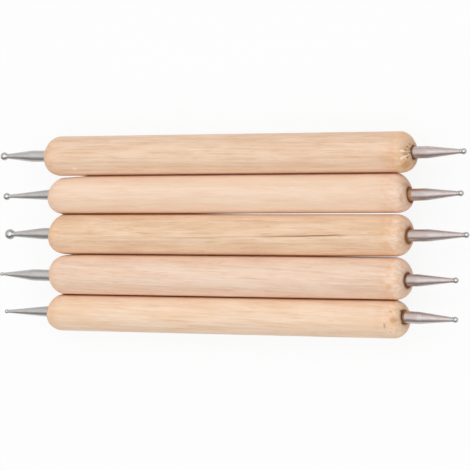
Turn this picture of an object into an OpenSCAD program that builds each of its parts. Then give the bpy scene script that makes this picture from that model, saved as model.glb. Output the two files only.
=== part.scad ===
// Set of five double-ended embossing styluses, laid side by side in a row.
// Each stylus is a turned wooden handle with a tapered steel shank at each end, its tang glued into a
// blind bore, and a small steel ball welded to the end of each shank.
// Lists run from the rearmost stylus, at +Y, to the front one. Left is -X and right is +X.
// The row lies on z = 0, with the origin under the middle of its box.

/* [Handles] */
// Length of a handle, from one round end to the other
handle_len = 104; // [80:0.5:140]
// Diameter of a handle
handle_d = 10.4; // [9.7:0.05:14]
// How much longer than that length each handle was cut
longer = [2.5, 0.3, 0.1, -0.3, 0.1]; // [-3:0.1:3]
// How much thicker than that diameter each handle was turned at its left shoulder
left_thicker = [0.05, -0.3, 0.15, 0.25, -0.75]; // [-0.8:0.05:0.8]
// How much thicker than that diameter each handle was turned at its right shoulder
right_thicker = [-0.1, -0.5, 0, 0.1, -0.8]; // [-0.8:0.05:0.8]
// Radius that rounds off the left end of every handle
left_round = 4.2; // [3:0.1:4.4]
// Radius that rounds off the right end of every handle
right_round = 3.7; // [3:0.1:4.4]

/* [Bores and adhesive] */
// Depth of the blind bore in each end of a handle
bore_depth = 15; // [10:0.5:30]
// Clearance of the bore's wall round the full diameter of the rod
bore_clearance = 0.2; // [0.05:0.01:0.4]
// Room left for adhesive under the foot of each shank
glue_floor = 0.6; // [0.3:0.1:2]
// Depth of the adhesive's surface below the end of the handle
glue_recess = 0.5; // [0.4:0.05:1.5]
// Sideways offset of each left bore from the handle's axis
left_bore_y = [0.05, 0.15, 0.15, -0.4, 0.15]; // [-1.2:0.05:1.2]
// Sideways offset of each right bore from the handle's axis
right_bore_y = [-0.15, -0.5, -0.05, -0.35, 0.6]; // [-1.2:0.05:1.2]
// Upward offset of each left bore from the handle's axis
left_bore_z = [0.1, 0, 0.2, 0, 0.1]; // [-1.2:0.05:1.2]
// Upward offset of each right bore from the handle's axis
right_bore_z = [0.2, 0.1, 0.7, 1, 1.1]; // [-1.2:0.05:1.2]

/* [Shanks] */
// Diameter of the steel rod that every shank is ground from
shank_d = 3; // [2:0.1:3.4]
// Depth to which the tang is turned down, to leave a shoulder on the rod
tang_undercut = 0.2; // [0.05:0.01:0.3]
// Height of the rod's shoulder above the end of the handle
shoulder_lift = 0.15; // [0.1:0.05:0.5]
// Width of the chamfer round the foot of each tang
tang_chamfer = 0.3; // [0.1:0.05:0.6]
// Distance from the handle's end to where each left shank starts to taper, negative inside the bore
left_straight = [5, -1, 3, 6.4, -0.4]; // [-2:0.1:8]
// Distance from the handle's end to where each right shank starts to taper
right_straight = [3.8, 4.3, 5.3, 2.9, 3.6]; // [-2:0.1:8]
// Diameter of each left neck as a share of the ball that it carries
left_neck_share = [0.61, 0.49, 0.5, 0.75, 0.77]; // [0.4:0.01:0.85]
// Diameter of each right neck as a share of the ball that it carries
right_neck_share = [0.74, 0.77, 0.74, 0.73, 0.77]; // [0.4:0.01:0.85]
// Sideways lean of each left shank out of its handle's line, in degrees
left_splay = [-0.3, 1.6, 1, -0.7, 0.9]; // [-4:0.1:4]
// Sideways lean of each right shank out of its handle's line, in degrees
right_splay = [0.6, 1.3, 0.7, 0.6, -1.7]; // [-4:0.1:4]

/* [Balls] */
// Distance from the handle's end to the centre of a ball
reach = 13.8; // [12.5:0.1:25]
// How much further out than that each left ball stands
left_further = [0.05, 0.45, -0.45, 2.55, 0]; // [-1.5:0.05:4]
// How much further out than that each right ball stands
right_further = [-0.55, -0.2, 1.4, -1.05, -0.5]; // [-1.5:0.05:4]
// Diameter of each left ball
left_ball_d = [2.2, 1.95, 2.8, 1, 1.1]; // [0.9:0.05:3]
// Diameter of each right ball
right_ball_d = [1.55, 1.5, 1.55, 1.5, 1.5]; // [1.3:0.05:3]
// Length of the weld bead between a neck and its ball
bead_len = 0.4; // [0.2:0.05:0.8]
// Height of the weld bead above the neck
bead_swell = 0.06; // [0.02:0.01:0.1]

/* [Row] */
// Gap between neighbouring handles at their left shoulders, from the rear pair to the front pair
left_gap = [0.1, 0.03, 0.03, 0.03]; // [0.03:0.01:1]
// Gap between neighbouring handles at their right shoulders, from the rear pair to the front pair
right_gap = [0.03, 0.36, 0.3, 0.03]; // [0.03:0.01:1]
// Turn of the rearmost stylus about the vertical, in degrees
row_turn = -0.24; // [-2:0.02:2]
// Shift of each handle's middle along the row's length
handle_shift = [0.3, 0.2, 0.5, 0.5, -0.5]; // [-5:0.1:5]

/* [Hidden] */
PIECES = ["handle", "left_glue", "left_shank", "left_ball", "right_glue", "right_shank", "right_ball"];
STYLUSES = [1:5];

// Number of sides that a round face is drawn with
$fn = 64;
// How far a cutter runs past the solid that it cuts
overcut = 1;

// The two ends of a stylus, and the direction in which each one points
LEFT = 0;
RIGHT = 1;
DIRECTION = [-1, 1];
bore_y = [left_bore_y, right_bore_y];
bore_z = [left_bore_z, right_bore_z];
straight = [left_straight, right_straight];
splay = [left_splay, right_splay];
further = [left_further, right_further];
end_round = [left_round, right_round];
ball_d = [left_ball_d, right_ball_d];
neck_share = [left_neck_share, right_neck_share];

wood_colors = ["#e6cab0", "#ecd0ba", "#e4c6a6", "#e6c8b2", "#eccfb6"];
steel_color = "#b4b2b0";
ball_color = "#dcdcdc";
glue_color = "#8a5426";

shank_r = shank_d / 2;
bore_r = shank_r + bore_clearance;
tang_r = shank_r - tang_undercut;
tang_foot = bore_depth - glue_floor;

// The row's layout: each handle's axis is held by its place at two stations along the row
left_station = left_round - handle_len / 2;
right_station = handle_len / 2 - right_round;

function left_r(i) = (handle_d + left_thicker[i]) / 2;
function right_r(i) = (handle_d + right_thicker[i]) / 2;
function whole_len(i) = handle_len + longer[i];
function shoulder(i, end) = whole_len(i) / 2 - end_round[end];
function body_len(i) = shoulder(i, LEFT) + shoulder(i, RIGHT);
function middle_r(i) = left_r(i) + (right_r(i) - left_r(i)) * shoulder(i, LEFT) / body_len(i);
function ball_z(i, end) = reach + further[end][i];
function ball_r(i, end) = ball_d[end][i] / 2;
function neck_r(i, end) = ball_r(i, end) * neck_share[end][i];

// Sideways distance between the axes of two rods that lie on one plane with a gap between them
function lying_step(r1, r2, gap) = sqrt(pow(r1 + r2 + gap, 2) - pow(r1 - r2, 2));

function left_y(i) =
    i == 0 ? 0 : left_y(i - 1) - lying_step(left_r(i - 1), left_r(i), left_gap[i - 1]);
function right_y(i) =
    i == 0 ? (right_station - left_station) * tan(row_turn)
           : right_y(i - 1) - lying_step(right_r(i - 1), right_r(i), right_gap[i - 1]);
function turn(i) = atan2(right_y(i) - left_y(i), right_station - left_station);
function axis_y(i, x) = left_y(i) + (x - left_station) * tan(turn(i));

// A tapered handle tips by this angle to lie along its whole length
function tip_down(i) = atan((left_r(i) - right_r(i)) / body_len(i));

// The row's box, from the balls' far sides along X and the outer handles' sides along Y
function ball_x(i, end) =
    handle_shift[i]
    + DIRECTION[end] * (whole_len(i) / 2 + ball_z(i, end) * cos(splay[end][i])) * cos(turn(i));
function shoulder_x(i, end) = handle_shift[i] + DIRECTION[end] * shoulder(i, end);
row_left = min([for (i = [0:4]) ball_x(i, LEFT) - ball_r(i, LEFT)]);
row_right = max([for (i = [0:4]) ball_x(i, RIGHT) + ball_r(i, RIGHT)]);
row_back = max(axis_y(0, shoulder_x(0, LEFT)) + left_r(0), axis_y(0, shoulder_x(0, RIGHT)) + right_r(0));
row_front = min(axis_y(4, shoulder_x(4, LEFT)) - left_r(4), axis_y(4, shoulder_x(4, RIGHT)) - right_r(4));
row_middle = [(row_left + row_right) / 2, (row_back + row_front) / 2];

// Distance from the handle's end to the flat where a shank meets its weld bead
function weld_z(i, end) = ball_z(i, end) - sqrt(pow(ball_r(i, end), 2) - pow(neck_r(i, end), 2)) - bead_len;

// The rod's radius at a distance from the handle's end, where it is ground to a straight taper
function taper_r(i, end, z) =
    let (done = (z - straight[end][i]) / (weld_z(i, end) - straight[end][i]))
    shank_r + (neck_r(i, end) - shank_r) * max(0, done);

// Puts a child, drawn along +X about a handle's middle, in its stylus's place in the row
module in_row(i) {
    translate([
        handle_shift[i] - row_middle.x,
        axis_y(i, handle_shift[i]) - row_middle.y,
        middle_r(i) * cos(tip_down(i))
    ])
        rotate([0, tip_down(i), turn(i)])
            children();
}

// Puts a child, drawn up +Z from the handle's end, on the line of one of its bores
module on_bore(i, end) {
    translate([DIRECTION[end] * whole_len(i) / 2, bore_y[end][i], bore_z[end][i]])
        rotate([0, 0, splay[end][i]])
            rotate([0, DIRECTION[end] * 90, 0])
                children();
}

// Half outline of a handle, standing on its left end
module handle_outline(i) {
    right_shoulder = whole_len(i) - right_round;
    intersection() {
        union() {
            polygon([
                [0, 0],
                [left_r(i) - left_round, 0],
                [left_r(i), left_round],
                [right_r(i), right_shoulder],
                [right_r(i) - right_round, whole_len(i)],
                [0, whole_len(i)]
            ]);
            translate([left_r(i) - left_round, left_round])
                circle(left_round);
            translate([right_r(i) - right_round, right_shoulder])
                circle(right_round);
        }
        square([max(left_r(i), right_r(i)), whole_len(i)]);
    }
}

module handle(i) {
    color(wood_colors[i])
        in_row(i)
            difference() {
                translate([-whole_len(i) / 2, 0, 0])
                    rotate([0, 90, 0])
                        rotate_extrude()
                            handle_outline(i);
                for (end = [LEFT, RIGHT])
                    on_bore(i, end)
                        translate([0, 0, -bore_depth])
                            cylinder(r = bore_r, h = bore_depth + overcut);
            }
}

// Half outline of a shank, from the foot of its tang to the flat that its ball is welded to
module shank_outline(i, end) {
    taper_start = max(straight[end][i], shoulder_lift);
    polygon([
        [0, -tang_foot],
        [tang_r - tang_chamfer, -tang_foot],
        [tang_r, -tang_foot + tang_chamfer],
        [tang_r, shoulder_lift],
        [taper_r(i, end, shoulder_lift), shoulder_lift],
        [taper_r(i, end, taper_start), taper_start],
        [neck_r(i, end), weld_z(i, end)],
        [0, weld_z(i, end)]
    ]);
}

module shank(i, end) {
    color(steel_color)
        in_row(i)
            on_bore(i, end)
                rotate_extrude()
                    shank_outline(i, end);
}

// Cup of set adhesive that fills the bore round the tang and under its foot
module glue(i, end) {
    color(glue_color)
        in_row(i)
            on_bore(i, end)
                rotate_extrude()
                    difference() {
                        translate([0, -bore_depth])
                            square([bore_r, bore_depth - glue_recess]);
                        shank_outline(i, end);
                    }
}

// Ball and the weld bead behind it, cut flat where they meet the shank's neck
module ball(i, end) {
    bead_r = bead_len / 2;
    bead_middle = [neck_r(i, end) + bead_swell - bead_r, weld_z(i, end) + bead_r];
    color(ball_color)
        in_row(i)
            on_bore(i, end)
                rotate_extrude()
                    intersection() {
                        union() {
                            translate([0, ball_z(i, end)])
                                circle(ball_r(i, end));
                            translate([0, weld_z(i, end)])
                                square([neck_r(i, end), bead_len]);
                            translate(bead_middle)
                                circle(bead_r);
                        }
                        translate([0, weld_z(i, end)])
                            square([ball_r(i, end), ball_z(i, end) + ball_r(i, end) - weld_z(i, end)]);
                    }
}

for (n = STYLUSES) {
    handle(n - 1);
    glue(n - 1, LEFT);
    shank(n - 1, LEFT);
    ball(n - 1, LEFT);
    glue(n - 1, RIGHT);
    shank(n - 1, RIGHT);
    ball(n - 1, RIGHT);
}
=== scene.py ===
"""Five double-ended embossing styluses, dressed for a render and standing on a pale floor.

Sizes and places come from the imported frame. Lengths are in metres, and Left is -X, Right is +X.
Stylus 1 is the rearmost one, at +Y, and stylus 5 the front one.
"""
import math

import bmesh
import bpy
import numpy as np
from bpy.props import CollectionProperty, FloatProperty, FloatVectorProperty, IntProperty, PointerProperty
from mathutils import Matrix, Vector, noise


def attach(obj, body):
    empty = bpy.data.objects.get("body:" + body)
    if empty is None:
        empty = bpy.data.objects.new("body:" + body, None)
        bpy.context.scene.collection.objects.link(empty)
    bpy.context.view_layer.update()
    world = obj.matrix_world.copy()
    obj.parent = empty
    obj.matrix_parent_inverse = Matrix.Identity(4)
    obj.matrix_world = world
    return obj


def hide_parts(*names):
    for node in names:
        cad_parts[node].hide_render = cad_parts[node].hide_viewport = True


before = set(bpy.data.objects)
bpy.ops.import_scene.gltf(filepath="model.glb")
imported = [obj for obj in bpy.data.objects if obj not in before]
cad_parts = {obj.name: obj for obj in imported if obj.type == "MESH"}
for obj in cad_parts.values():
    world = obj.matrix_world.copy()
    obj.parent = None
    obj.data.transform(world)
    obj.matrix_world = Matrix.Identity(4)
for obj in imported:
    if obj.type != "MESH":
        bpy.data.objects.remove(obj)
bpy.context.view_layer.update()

bl_info = {
    "name": "Embossing Stylus Set",
    "version": (1, 0, 0),
    "blender": (4, 5, 0),
    "location": "View3D > Sidebar > Styluses",
    "description": "Builds five double-ended ball styluses with wooden handles, and a studio to see them in",
    "category": "Object",
}

MM = 0.001
LEFT = -1
RIGHT = 1
SIDES = {LEFT: "left", RIGHT: "right"}
STYLUSES = range(1, 6)
# How far apart two measures of the same place may lie
MARGIN = 0.06 * MM
# Height of the adhesive at the bore's wall, in millimetres above the handle's end
RECESS = -0.28
# A barrel's rings of points lie further apart than this, and its round ends' closer together
BARREL_STEP = 2 * MM
# Points round each shank, ball and ring of adhesive
SEGMENTS = 56
# Half the gap that is left between two handles that touch
CLEAR = 0.002 * MM
# The shank with two scratches across it, their heights and half their width, in millimetres
SCRATCHED = "stylus_5_right"
SCRATCHES = (3.9, 4.5)
SCRATCH_WIDE = 0.2
# Cross-section of a torn fibre, in shares of its half width and height
FIBRE_PROFILE = ((-1, -0.6), (-0.7, 0.5), (0, 1), (0.7, 0.5), (1, -0.6), (0, -0.8))
# Where each lamp stands and how large it is, in metres
REAR_LAMP = ((-0.15, 0.85, 1.0), (1.6, 1.1))
FRONT_LAMP = ((0.1, -0.95, 0.95), (1.5, 1.0))
FLOOR_HALF = 2.0


def paint(code):
    """A colour written as a web code, as Blender's linear red, green and blue."""
    shares = [int(code[i:i + 2], 16) / 255 for i in (1, 3, 5)]
    linear = [c / 12.92 if c <= 0.04045 else ((c + 0.055) / 1.055) ** 2.4 for c in shares]
    return tuple(linear)


WHITE = (1, 1, 1)
# Shine of single wood fibres, the inside of torn wood with painted shade in its crevices, and the dark line
# along stylus 3
FIBRE_SHINE = paint("#fff1e2")
TORN_WOOD_SHADE = paint("#6b4526")
DARK_LINE = paint("#8d6244")


def color_property(name, code, description):
    return FloatVectorProperty(
        name=name, description=description, default=paint(code), size=3, subtype="COLOR", min=0, max=1
    )


def number_property(name, value, description, **kind):
    return FloatProperty(name=name, description=description, default=value, **kind)


def length_property(name, millimetres, description):
    return number_property(name, millimetres * MM, description, unit="LENGTH", subtype="DISTANCE")


# Places and sizes that the frame gives

def node_points(node):
    """A CAD node's vertices in the row frame."""
    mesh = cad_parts[node].data
    points = np.empty(len(mesh.vertices) * 3, np.float32)
    mesh.vertices.foreach_get("co", points)
    return points.reshape(-1, 3).astype(float)


def fitted_circle(points):
    """Centre and radius of the circle through points that lie round the X axis's direction."""
    y, z = points[:, 1], points[:, 2]
    rows = np.column_stack([2 * y, 2 * z, np.ones(len(y))])
    middle_y, middle_z, rest = np.linalg.lstsq(rows, y * y + z * z, rcond=None)[0]
    radius = math.sqrt(rest + middle_y ** 2 + middle_z ** 2)
    return np.array([points[:, 0].mean(), middle_y, middle_z]), radius


def unit(vector):
    return vector / np.linalg.norm(vector)


def placed(origin, first, second, third):
    """A matrix with these axes and this origin."""
    matrix = Matrix([(*axis, 0) for axis in (first, second, third, origin)]).transposed()
    matrix[3][3] = 1
    return matrix


class Handle:
    """A handle's axis, radii and round ends, with X along its axis from its middle to the right."""

    def __init__(self, number):
        points = node_points(f"stylus_{number}_handle")
        low, high = points.min(axis=0), points.max(axis=0)
        off_axis = np.hypot(*(points - (low + high) / 2)[:, 1:].T)
        skin = points[off_axis > 0.66 * (high[2] - low[2]) / 2]
        along = np.sort(skin[:, 0])
        steps = np.flatnonzero(np.diff(along) > BARREL_STEP)
        left, left_r = fitted_circle(skin[abs(skin[:, 0] - along[steps[0]]) < MARGIN])
        right, right_r = fitted_circle(skin[abs(skin[:, 0] - along[steps[-1] + 1]) < MARGIN])
        axis = unit(right - left)
        side = unit(np.cross([0, 0, 1], axis))
        self.number = number
        self.body = f"stylus_{number}"
        self.slot = f"handle_wood_{number}"
        self.seed = 17.3 * number
        self.radius = {LEFT: left_r, RIGHT: right_r}
        self.shoulder = np.linalg.norm(right - left) / 2
        self.matrix = placed((left + right) / 2, axis, side, np.cross(axis, side))
        self.round = {end: self.measured_round(skin, end) for end in SIDES}
        self.lean = {LEFT: 0.0, RIGHT: 0.0}
        self.bores = {end: Bore(self, end) for end in SIDES}

    def measured_round(self, skin, end):
        """Radius of a round end, from points on it."""
        found = []
        for point in skin:
            local = self.matrix.inverted() @ Vector(point)
            past = end * local.x - self.shoulder
            drop = self.radius[end] - math.hypot(local.y, local.z)
            if past > 1 * MM and drop > 1 * MM:
                found.append((drop ** 2 + past ** 2) / (2 * drop))
        return float(np.median(found))

    def end_x(self, end, y, z):
        """Place along the handle of its round end, at a distance off its axis."""
        lap = max(0.0, math.hypot(y, z) - self.radius[end] + self.round[end])
        out = math.sqrt(max(self.round[end] ** 2 - lap ** 2, 0))
        return end * (self.shoulder + out - self.lean[end] * y * out / self.round[end])

    def outward(self, end, point):
        """Unit vector out of a round end at a point of it."""
        flat = max(0.0, self.radius[end] - self.round[end])
        off = max(math.hypot(point.y, point.z), 1e-9)
        centre = Vector((end * self.shoulder, point.y * flat / off, point.z * flat / off))
        return (point - centre).normalized()

    def radius_at(self, x):
        share = (x + self.shoulder) / (2 * self.shoulder)
        return self.radius[LEFT] + (self.radius[RIGHT] - self.radius[LEFT]) * share

    def skin_at(self, x):
        """Radius of the barrel or of a round end at a place along the handle."""
        end = LEFT if x < 0 else RIGHT
        past = end * x - self.shoulder
        if past < 0:
            return self.radius_at(x)
        return self.radius[end] - self.round[end] + math.sqrt(max(self.round[end] ** 2 - past ** 2, 0))


class Bore:
    """A bore and the shank and ball on its line, with Z out of the bore and its zero at the handle's end."""

    def __init__(self, handle, end):
        name = f"stylus_{handle.number}_{SIDES[end]}"
        shank = node_points(f"{name}_shank")
        foot = shank[abs(shank[:, 0] - end * (end * shank[:, 0]).min()) < 2 * MARGIN]
        ball = node_points(f"{name}_ball")
        low, high = ball.min(axis=0), ball.max(axis=0)
        self.ball_r = (high[2] - low[2]) / 2
        middle = (low + high) / 2
        tip = high[0] if end == RIGHT else low[0]
        ball_centre = np.array([tip - end * self.ball_r, middle[1], middle[2]])
        foot_centre = (foot.min(axis=0) + foot.max(axis=0)) / 2
        axis = unit(ball_centre - foot_centre)
        to_handle = handle.matrix.inverted()
        start = to_handle @ Vector(foot_centre)
        line = to_handle.to_3x3() @ Vector(axis)
        self.name = name
        half = handle.shoulder + handle.round[end]
        self.origin = start + line * ((end * half - start.x) / line.x)
        self.line = line
        up = Vector((0, 0, 1))
        top = (up - line * up.dot(line)).normalized()
        self.matrix = handle.matrix @ placed(self.origin, top.cross(line), top, line)
        self.ball_z = (self.matrix.inverted() @ Vector(ball_centre)).z
        self.shank = self.outline(shank)
        self.neck_r = self.shank[-1][1]
        self.weld_z = self.shank[-1][0]
        glue = self.outline(node_points(f"{name}_glue"))
        self.bore_r = max(r for z, r in glue)
        self.depth = -min(z for z, r in glue)
        self.rod_r = max(r for z, r in self.shank)
        self.tang_r = max(r for z, r in self.shank if z < 0)
        self.tang_z = max(z for z, r in self.shank if self.on_tang(z, r) and z < 1 * MM)

    def on_tang(self, z, r):
        """Whether a point of the shank's outline is no further out than its tang."""
        return r <= self.tang_r + MARGIN / 3

    def outline(self, points):
        """The turned outline of a node on this line, as pairs of height and radius."""
        inverse = np.array(self.matrix.inverted())
        local = points @ inverse[:3, :3].T + inverse[:3, 3]
        pairs = zip(np.round(local[:, 2], 5), np.round(np.hypot(local[:, 0], local[:, 1]), 5))
        return sorted({(float(z), float(r)) for z, r in pairs if r > MARGIN})


handles = [Handle(n) for n in STYLUSES]


# Meshes

def new_piece(name, rings, matrix, body, material, node=None, marks=None, sharp=40):
    """An object skinned over rings of points, in place of a CAD node; a ring of one point closes an end."""
    points = [point for ring in rings for point in ring]
    faces = []
    start = 0
    for ring, following in zip(rings, rings[1:]):
        after = start + len(ring)
        count = max(len(ring), len(following))
        for k in range(count):
            step = (k + 1) % count
            corners = [start + k % len(ring), start + step % len(ring)]
            corners += [after + step % len(following), after + k % len(following)]
            faces.append(list(dict.fromkeys(corners)))
        start = after
    mesh = bpy.data.meshes.new(name)
    mesh.from_pydata(points, [], faces)
    for mark, values in (marks or {}).items():
        mesh.attributes.new(mark, "FLOAT", "POINT").data.foreach_set("value", values)
    shell = bmesh.new()
    shell.from_mesh(mesh)
    bmesh.ops.recalc_face_normals(shell, faces=shell.faces)
    shell.to_mesh(mesh)
    shell.free()
    mesh.polygons.foreach_set("use_smooth", [True] * len(mesh.polygons))
    mesh.set_sharp_from_angle(angle=math.radians(sharp))
    piece = bpy.data.objects.new(name, mesh)
    bpy.context.scene.collection.objects.link(piece)
    piece.matrix_world = matrix
    mesh.materials.append(material)
    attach(piece, body)
    if node:
        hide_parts(node)


def turns(count):
    """Cosine and sine of equal steps round a circle."""
    angles = [2 * math.pi * k / count for k in range(count)]
    return [(math.cos(angle), math.sin(angle)) for angle in angles]


def turned_rings(outline):
    """Rings of a lathe-turned shape, from pairs of height and radius; one of no radius is a single point."""
    rings = []
    for z, r in outline:
        steps = turns(SEGMENTS) if r > 0 else [(0, 0)]
        rings.append([Vector((r * cos, r * sin, z)) for cos, sin in steps])
    return rings


def smooth_step(low, high, value):
    share = min(max((value - low) / (high - low), 0), 1)
    return share * share * (3 - 2 * share)


# Shader building

class Wire:
    """One output socket of a material's node, with arithmetic that adds the nodes it needs."""

    def __init__(self, finish, socket):
        self.finish = finish
        self.socket = socket

    def maths(self, operation, *values):
        inputs = dict(enumerate(values))
        return self.finish.add("Math", {"operation": operation}, inputs)

    def __add__(self, other):
        return self.maths("ADD", self, other)

    def __sub__(self, other):
        return self.maths("SUBTRACT", self, other)

    def __mul__(self, other):
        return self.maths("MULTIPLY", self, other)

    def __truediv__(self, other):
        return self.maths("DIVIDE", self, other)

    def __pow__(self, other):
        return self.maths("POWER", self, other)

    def __rsub__(self, other):
        return self.maths("SUBTRACT", other, self)

    def __rtruediv__(self, other):
        return self.maths("DIVIDE", other, self)

    __radd__ = __add__
    __rmul__ = __mul__

    def __abs__(self):
        return self.maths("ABSOLUTE", self)

    def between(self, low, high):
        """0 below low, 1 above high and a smooth step in between."""
        settings = {"interpolation_type": "SMOOTHSTEP"}
        return self.finish.add("MapRange", settings, {"Value": self, "From Min": low, "From Max": high})

    def wave(self):
        """A thin line once in each turn of an angle."""
        return (self.maths("SINE", self) * 0.5 + 0.5) ** 4


class Finish:
    """A material, built node by node."""

    def __init__(self, name, tree=None):
        if tree is None:
            self.material = bpy.data.materials.new(name)
            self.material.use_nodes = True
            tree = self.material.node_tree
        self.tree = tree
        self.tree.nodes.clear()

    def add(self, kind, settings=None, inputs=None, out=0):
        """A node of a kind, its settings first and then the values or wires of its sockets."""
        node = self.tree.nodes.new("ShaderNode" + kind)
        for name, value in (settings or {}).items():
            setattr(node, name, value)
        for name, value in (inputs or {}).items():
            if isinstance(value, Wire):
                self.tree.links.new(value.socket, node.inputs[name])
            elif node.inputs[name].type == "RGBA":
                node.inputs[name].default_value = (*value[:3], 1)
            else:
                node.inputs[name].default_value = value
        return Wire(self, node.outputs[out])

    def parts(self, kind):
        """X, Y and Z of a kind of texture coordinate."""
        split = self.add("SeparateXYZ", inputs={0: self.add("TexCoord", out=kind)}).socket.node
        return [Wire(self, output) for output in split.outputs]

    def axes(self):
        """The object's own X, Y and Z, in millimetres."""
        return [part * 1000 for part in self.parts("Object")]

    def noise(self, x, y, z, detail=2, rough=0.5):
        """Noise whose spots are about one unit of these three wires apart."""
        place = self.add("CombineXYZ", inputs={0: x, 1: y, 2: z})
        return self.add("TexNoise", inputs={"Vector": place, "Scale": 1, "Detail": detail, "Roughness": rough})

    def grain(self, place, long, fine, shift=0, detail=2, rough=0.5):
        """Noise drawn out along a grain: how long its spots are, and how many lie in a millimetre across."""
        along, across, deep = place
        return self.noise(along / long, across * fine, deep * fine + shift, detail, rough)

    def bump(self, height, strength, millimetres):
        """A normal that follows a height from 0 to 1, this many millimetres deep."""
        values = {"Strength": strength, "Distance": millimetres * MM, "Height": height}
        return self.add("Bump", inputs=values)

    def mix(self, share, first, second):
        """Two colours mixed by a share."""
        settings = {"data_type": "RGBA", "clamp_factor": True}
        return self.add("Mix", settings, {0: share, 6: first, 7: second}, out=2)

    def rays(self):
        """1 for a ray that the camera sees or that passed through something, and 1 for a mirrored one."""
        path = self.add("LightPath").socket.node
        kinds = ("Camera", "Glossy", "Transmission")
        camera, glossy, through = [Wire(self, path.outputs[f"Is {kind} Ray"]) for kind in kinds]
        return (camera + through).between(0, 1), glossy

    def mark(self, name):
        """A value that the mesh carries."""
        return self.add("Attribute", {"attribute_name": name}, out="Fac")

    def surface(self, **sockets):
        """The principled shader on the material's output."""
        named = {name.replace("_", " "): value for name, value in sockets.items()}
        self.output(self.add("BsdfPrincipled", inputs=named))
        return self.material

    def output(self, shader, kind="OutputMaterial"):
        node = self.tree.nodes.new("ShaderNode" + kind)
        self.tree.links.new(shader.socket, node.inputs["Surface"])


# Materials

def wood_finish(handle, look):
    """Bare sanded wood, its grain along the handle, stained round the mouths of the bores, with painted shade
    in the creases between handles, at the mouths and in the torn grain.
    """
    finish = Finish(handle.slot)
    axes = x, y, z = finish.axes()
    across = y + x * look.skew
    deep = z + x * look.lean + handle.seed
    grain = (x, across, deep)
    drift = finish.grain(grain, 62, 1 / 5, detail=1) - 0.5
    rings = across * math.cos(look.ring_turn) + deep * math.sin(look.ring_turn) + drift * look.figure
    wave = (rings * (2 * math.pi / look.ring_step)).wave()
    broken = finish.grain(grain, 11, 1 / 1.5, shift=40)
    streaks = finish.grain(grain, 26, 1.7, detail=4, rough=0.66)
    fibres = finish.grain(grain, 4.5, 5.2, detail=3, rough=0.6)
    blotches = finish.grain(grain, 16, 1 / 2.2)
    dashes = finish.grain(grain, 4, 3.4, shift=70, detail=1)

    color = finish.mix(blotches.between(0.36, 0.66) * look.blotch, look.pale, look.warm)
    color = finish.mix(streaks.between(0.44, 0.74) * look.streak, color, look.line)
    color = finish.mix(wave * broken.between(0.4, 0.6) * look.ring, color, look.line)
    color = finish.mix(fibres.between(0.3, 0.7) * 0.22, color, FIBRE_SHINE)
    color = finish.mix(dashes.between(0.62, 0.74) * look.pore, color, look.dark)
    if look.crack > 0:
        color = crack_line(finish, handle, color, axes, look)
    rough = 0.52 + streaks * 0.16
    for end, mouth in zip(SIDES, (look.left_mouth, look.right_mouth)):
        color, rim = mouth_color(finish, handle, end, mouth, axes, grain, color)
        rough = rough - rim * 0.2
    for spot_look in look.spots:
        color = spot_color(finish, handle, color, axes, spot_look)
    # Torn grain: the torn wood's colour, darkened as painted shade in its crevices
    color = finish.mix(finish.mark("tear").between(0.10, 0.6) * 0.9, color, TORN_WOOD_SHADE)
    # Painted shade in the crease where two handles touch
    color = finish.mix(painted_crease_shade(finish, look), color, look.crease_shade_color)
    height = fibres * 0.5 + streaks * 0.5 - dashes.between(0.6, 0.74) * 0.7
    bump = finish.bump(height, 0.4, 0.05)
    return finish.surface(Base_Color=color, Roughness=rough, IOR=1.42, Normal=bump)


def mouth_color(finish, handle, end, mouth, axes, grain, color):
    """The wood's colour with a round end and the mouth of its bore laid over it, and the share of the dark rim,
    which is a stain and a painted shadow at the bore's edge.
    """
    bore = handle.bores[end]
    past = axes[0] * end - handle.shoulder / MM
    off_y = axes[1] - bore.origin.y / MM
    off_z = axes[2] - bore.origin.z / MM
    off = (off_y * off_y + off_z * off_z) ** 0.5 - bore.bore_r / MM
    ragged = finish.noise(off_y * 0.9, off_z * 0.9, handle.seed + end, detail=3) - 0.5
    at_end = past.between(-2.0, 1.5)
    end_grain = finish.grain(grain, 3, 1.1, detail=4, rough=0.7)
    tint = finish.mix(end_grain.between(0.36, 0.64), mouth.end_pale, mouth.end_tone)
    color = finish.mix(at_end * mouth.end_share, color, tint)
    patches = finish.grain(grain, 1.6, 1 / 1.8)
    band = past.between(-4.5, -1.5) * (1 - past.between(0, 1.5)) * patches.between(0.25, 0.75)
    color = finish.mix(band * mouth.band, color, mouth.band_color)
    halo = at_end * (1 - (off + ragged * 1.4).between(0.05, mouth.halo / MM))
    color = finish.mix(halo * mouth.halo_share, color, mouth.halo_color)
    # The dark rim is a stain at the mouth plus a painted shadow of the gap at the bore's edge
    rim_wide = mouth.rim / MM
    rim = at_end * (1 - (off + ragged * mouth.rim_ragged).between(rim_wide * 0.3, rim_wide))
    color = finish.mix(rim * mouth.rim_share, color, mouth.rim_color)
    face = past.between(0, 1.2)
    for stain_and_shade_look in mouth.stains:
        color = stain_and_shade_color(finish, bore, color, (off_y, off_z, face), stain_and_shade_look)
    return color, rim


def painted_crease_shade(finish, look):
    """How far painted shade darkens the wood beside a neighbour; it stops when one of the two is lifted away.
    """
    clear = finish.add("AmbientOcclusion", {"samples": 4}, {"Distance": look.crease_shade_reach}, out="AO")
    return finish.mark("crease") * (1 - clear.between(0.15, 0.8)) * look.crease


def on_handle(handle, x, y, height=0.8):
    """A place of the row's plan as the handle's own X and Y in millimetres, on the upper side."""
    local = handle.matrix.inverted() @ Vector((x, y, handle.matrix.translation.z * (1 + height)))
    return local.x / MM, local.y / MM


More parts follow.
